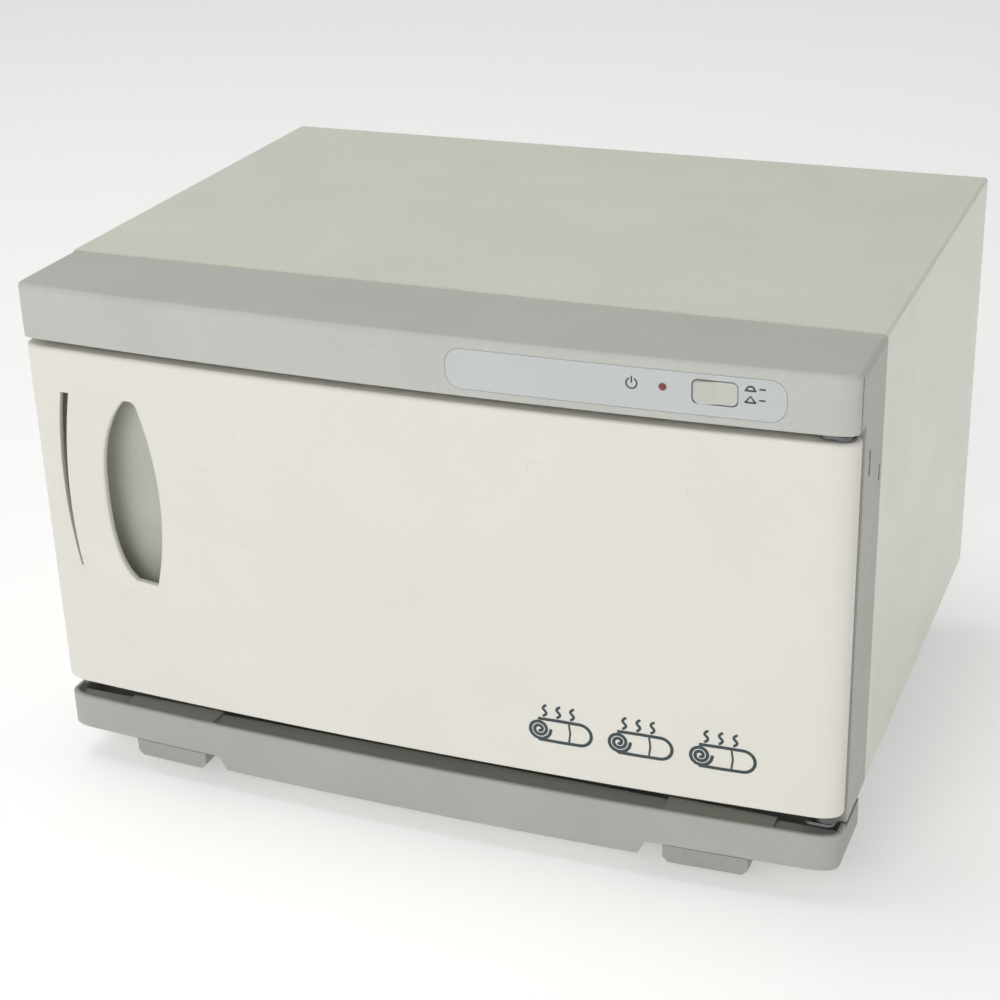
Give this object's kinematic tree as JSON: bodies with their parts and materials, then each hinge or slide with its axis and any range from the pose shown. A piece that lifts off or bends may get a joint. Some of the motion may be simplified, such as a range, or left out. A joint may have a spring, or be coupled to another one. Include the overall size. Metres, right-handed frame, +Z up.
{
  "type": "hot towel cabinet",
  "caption": "Counter-top hot towel cabinet with a heated chamber, hinged front door with a pull handle, control fascia with a rocker switch, and a sliding drip tray.",
  "frame": {"origin": "centre of the footprint, on the surface the feet stand on", "axes": "+X to the cabinet's right, -Y out of the front, +Z up"},
  "size_m": [0.45, 0.34, 0.29],
  "materials": {
    "black_plastic": "moulded black",
    "brass_tab": "plain stamped",
    "bush_plastic": "dark grey acetal",
    "casing_paint": "baked cream enamel, fine orange-peel, satin",
    "casing_paint_rear": "baked cream enamel, satin",
    "chamber_aluminium": "bright rolled, lightly brushed",
    "door_liner": "pressed sheet",
    "door_plastic": "moulded warm white, semi-gloss",
    "element_sheath": "heat-tinted sheath",
    "feet_plastic": "moulded grey",
    "fuse_ceramic": "glazed white body",
    "gasket_rubber": "grey silicone",
    "gland_plastic": "moulded black nylon",
    "grey_plastic": "moulded light grey, fine texture",
    "grey_plastic_fascia": "moulded light grey, satin",
    "guide_plastic": "moulded grey",
    "heater_aluminium": "rolled",
    "hinge_steel": "black passivated zinc",
    "insulation": "fibre blanket",
    "ivory_plastic": "moulded ivory, semi-gloss",
    "label_film": "pale blue-grey printed film, satin",
    "lamp_lens": "red diffused lens",
    "magnet": "ferrite strip in a case",
    "pin_steel": "ground pin",
    "pocket_plastic": "moulded grey-white",
    "rack_wire": "plated wire",
    "rail_steel": "stainless strip",
    "screw_steel": "zinc plated",
    "spring_steel": "plain strip",
    "strike_steel": "plated strip",
    "terminal_plastic": "natural nylon",
    "thermostat_shell": "phenolic with plated cap",
    "tray_plastic": "moulded light grey",
    "wire_sleeve": "silicone sleeve",
    "zinc_sheet": "galvanised sheet, dull spangle"
  },
  "bodies": {
    "cabinet": {"base_tub": "zinc_sheet", "casing_screws": "screw_steel", "catch_magnet": "magnet", "control_fascia": "grey_plastic_fascia", "control_label": "label_film", "cord_gland": "gland_plastic", "element_clips": "spring_steel", "fascia_screws": "screw_steel", "foot_screws": "screw_steel", "frame_screws": "screw_steel", "front_feet": "feet_plastic", "front_frame": "grey_plastic", "gland_nut": "gland_plastic", "heater_plate": "heater_aluminium", "heating_element": "element_sheath", "hinge_bushes": "bush_plastic", "inner_chamber": "chamber_aluminium", "insulation_blanket": "insulation", "internal_wiring": "wire_sleeve", "lower_hinge_bracket": "hinge_steel", "outer_casing": "casing_paint", "pilot_lamp_holder": "black_plastic", "pilot_lamp_lens": "lamp_lens", "rack_rails": "rail_steel", "rear_feet": "feet_plastic", "rear_panel": "casing_paint_rear", "rear_screws": "screw_steel", "switch_housing": "black_plastic", "switch_tabs": "brass_tab", "terminal_block": "terminal_plastic", "thermal_fuse": "fuse_ceramic", "thermostat": "thermostat_shell", "towel_rack": "rack_wire", "tray_guides": "guide_plastic", "upper_hinge_bracket": "hinge_steel"},
    "door": {"door_shell": "door_plastic", "handle_pocket": "pocket_plastic", "door_inner_panel": "door_liner", "door_gasket": "gasket_rubber", "door_insulation": "insulation", "strike_plate": "strike_steel", "hinge_pins": "pin_steel", "door_screws": "screw_steel"},
    "rocker": {"rocker_cap": "ivory_plastic"},
    "tray": {"drip_tray": "tray_plastic"}
  },
  "joints": [
    {"name": "door_hinge", "type": "hinge", "parent": "cabinet", "child": "door", "pos_m": [0.217, -0.155, 0.15], "axis": [0, 0, 1], "range_deg": [0, 110]},
    {"name": "rocker_rock", "type": "hinge", "parent": "cabinet", "child": "rocker", "pos_m": [0.15804, -0.16054, 0.2751], "axis": [0, 0, -1], "range_deg": [0, 14]},
    {"name": "tray_slide", "type": "slide", "parent": "cabinet", "child": "tray", "axis": [0, -1, 0], "range_m": [0, 0.06]}
  ]
}
